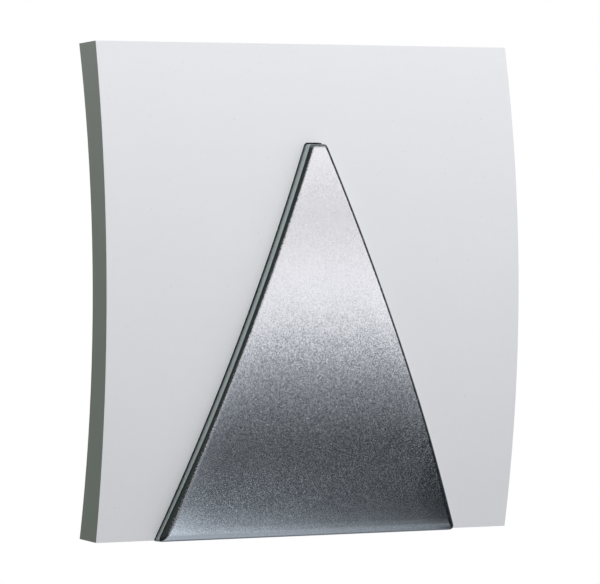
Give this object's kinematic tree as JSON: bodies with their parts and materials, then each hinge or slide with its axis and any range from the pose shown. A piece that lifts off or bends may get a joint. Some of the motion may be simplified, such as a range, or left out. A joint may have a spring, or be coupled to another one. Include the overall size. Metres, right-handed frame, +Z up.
{
  "type": "pedestrian push button",
  "caption": "Square wall-mounted push button with a bowed white cover and a raised silver triangular panel that hinges inwards to press a lever switch.",
  "frame": {"origin": "centre of the wall gasket's rear face, on the wall", "axes": "+X to the right and +Z up as seen from the front, -Y away from the wall"},
  "size_m": [0.1508, 0.029, 0.1504],
  "materials": {
    "cover_white": "fine-textured moulded white",
    "base_grey": "moulded light grey",
    "panel_silver": "fine bead-blasted silver",
    "carrier_black": "moulded black",
    "rubber_black": "matt elastomer",
    "zinc_steel": "bright zinc plate",
    "spring_steel": "drawn stainless",
    "switch_dark": "moulded dark thermoset",
    "plunger_red": "moulded red",
    "contact_brass": "stamped brass",
    "block_ivory": "moulded ivory",
    "bush_natural": "natural acetal",
    "wire_brown": "insulated wire",
    "wire_blue": "insulated wire"
  },
  "bodies": {
    "housing": {"wall_gasket": "rubber_black", "base_housing": "base_grey", "cable_grommet": "rubber_black", "cover_seal": "rubber_black", "front_cover": "cover_white", "cover_screws": "zinc_steel", "hinge_pin": "zinc_steel", "hinge_pin_clips": "zinc_steel", "down_stop_bumpers": "rubber_black", "switch_case": "switch_dark", "switch_lid": "switch_dark", "switch_screws": "zinc_steel", "lever_pin": "zinc_steel", "common_terminal": "contact_brass", "normally_open_terminal": "contact_brass", "normally_closed_terminal": "contact_brass", "terminal_block": "block_ivory", "terminal_clamps": "contact_brass", "terminal_screws": "zinc_steel", "terminal_block_screw": "zinc_steel", "wire_crimps": "zinc_steel", "wire_common": "wire_brown", "wire_normally_open": "wire_blue", "left_return_spring": "spring_steel", "right_return_spring": "spring_steel"},
    "panel": {"push_panel": "panel_silver", "panel_carrier": "carrier_black", "carrier_screws": "zinc_steel", "hinge_bushes": "bush_natural", "rest_bumpers": "rubber_black", "actuator_screw": "zinc_steel", "actuator_nut": "zinc_steel"},
    "lever": {"switch_lever": "spring_steel"},
    "plunger": {"switch_plunger": "plunger_red"},
    "blade": {"contact_blade": "contact_brass"}
  },
  "joints": [
    {"name": "panel_press", "type": "hinge", "parent": "housing", "child": "panel", "pos_m": [0, -0.012, 0.05], "axis": [1, 0, 0], "range_deg": [0, 1.37], "stiffness_Nm_per_rad": 10, "springref_deg": -1.43, "deforming": ["left_return_spring", "right_return_spring"]},
    {"name": "switch_lever_swing", "type": "hinge", "parent": "housing", "child": "lever", "pos_m": [-0.009, -0.0159, -0.02], "axis": [0, 0, 1], "range_deg": [0, 6.5]},
    {"name": "switch_plunger_travel", "type": "slide", "parent": "housing", "child": "plunger", "axis": [0, 1, 0], "range_m": [0, 0.0007]},
    {"name": "contact_blade_swing", "type": "hinge", "parent": "housing", "child": "blade", "pos_m": [0.0079, -0.0116, -0.02], "axis": [0, 0, -1], "range_deg": [0, 3.6]}
  ],
  "couplings": [
    {"joint": "switch_lever_swing", "follows": "panel_press", "ratio": 4.6667},
    {"joint": "switch_plunger_travel", "follows": "panel_press", "m_per_rad": 0.028},
    {"joint": "contact_blade_swing", "follows": "panel_press", "ratio": 2.5688}
  ]
}
